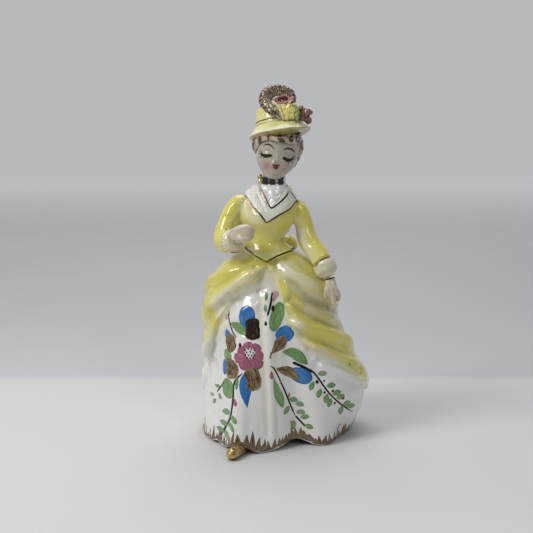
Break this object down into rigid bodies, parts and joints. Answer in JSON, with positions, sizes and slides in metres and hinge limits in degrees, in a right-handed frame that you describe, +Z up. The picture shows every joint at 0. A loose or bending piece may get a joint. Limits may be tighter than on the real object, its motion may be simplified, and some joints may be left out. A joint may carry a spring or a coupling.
{
  "type": "ceramic lady figurine",
  "caption": "Standing glazed ceramic lady in a draped walking dress with a flower-painted skirt panel, a plumed hat and one hand at the waist.",
  "frame": {"origin": "centre of the figure's bounding box on the table plane under the hem", "axes": "+Z up along the standing figure, -Y the way the lady faces, +X her left side"},
  "size_m": [0.0935, 0.0987, 0.188],
  "materials": {
    "white_glaze": "clear gloss glaze over white body",
    "yellow_glaze": "air-brushed yellow under clear gloss glaze",
    "ochre_glaze": "painted ochre yellow under gloss glaze",
    "cream_glaze": "pale cream gloss glaze",
    "skin_glaze": "pale flesh gloss glaze",
    "hair_glaze": "brush-painted blond under gloss glaze",
    "black_enamel": "black overglaze enamel",
    "gold_lustre": "fired gold lustre",
    "bronze_lustre": "fired bronze lustre with dark strokes",
    "mauve_enamel": "mauve pink overglaze enamel",
    "rose_enamel": "brown rose overglaze enamel with gold",
    "green_enamel": "green overglaze enamel"
  },
  "bodies": {
    "root": {"skirt": "white_glaze", "left_drape": "yellow_glaze", "right_drape": "yellow_glaze", "back_bustle": "yellow_glaze", "bodice": "yellow_glaze", "collar": "white_glaze", "chemisette": "white_glaze", "head": "skin_glaze", "hair": "hair_glaze", "choker_band": "white_glaze", "choker_beads": "black_enamel", "neck_bow": "gold_lustre", "hat_brim": "yellow_glaze", "hat_crown": "yellow_glaze", "plume": "bronze_lustre", "plume_stems": "gold_lustre", "hat_ribbon_loop": "mauve_enamel", "hat_rose": "rose_enamel", "hat_blossom": "ochre_glaze", "hat_leaves": "green_enamel", "left_sleeve": "yellow_glaze", "left_cuff": "cream_glaze", "left_hand": "skin_glaze", "right_sleeve": "yellow_glaze", "right_cuff": "cream_glaze", "right_hand": "skin_glaze", "shoe": "gold_lustre"}
  },
  "joints": []
}
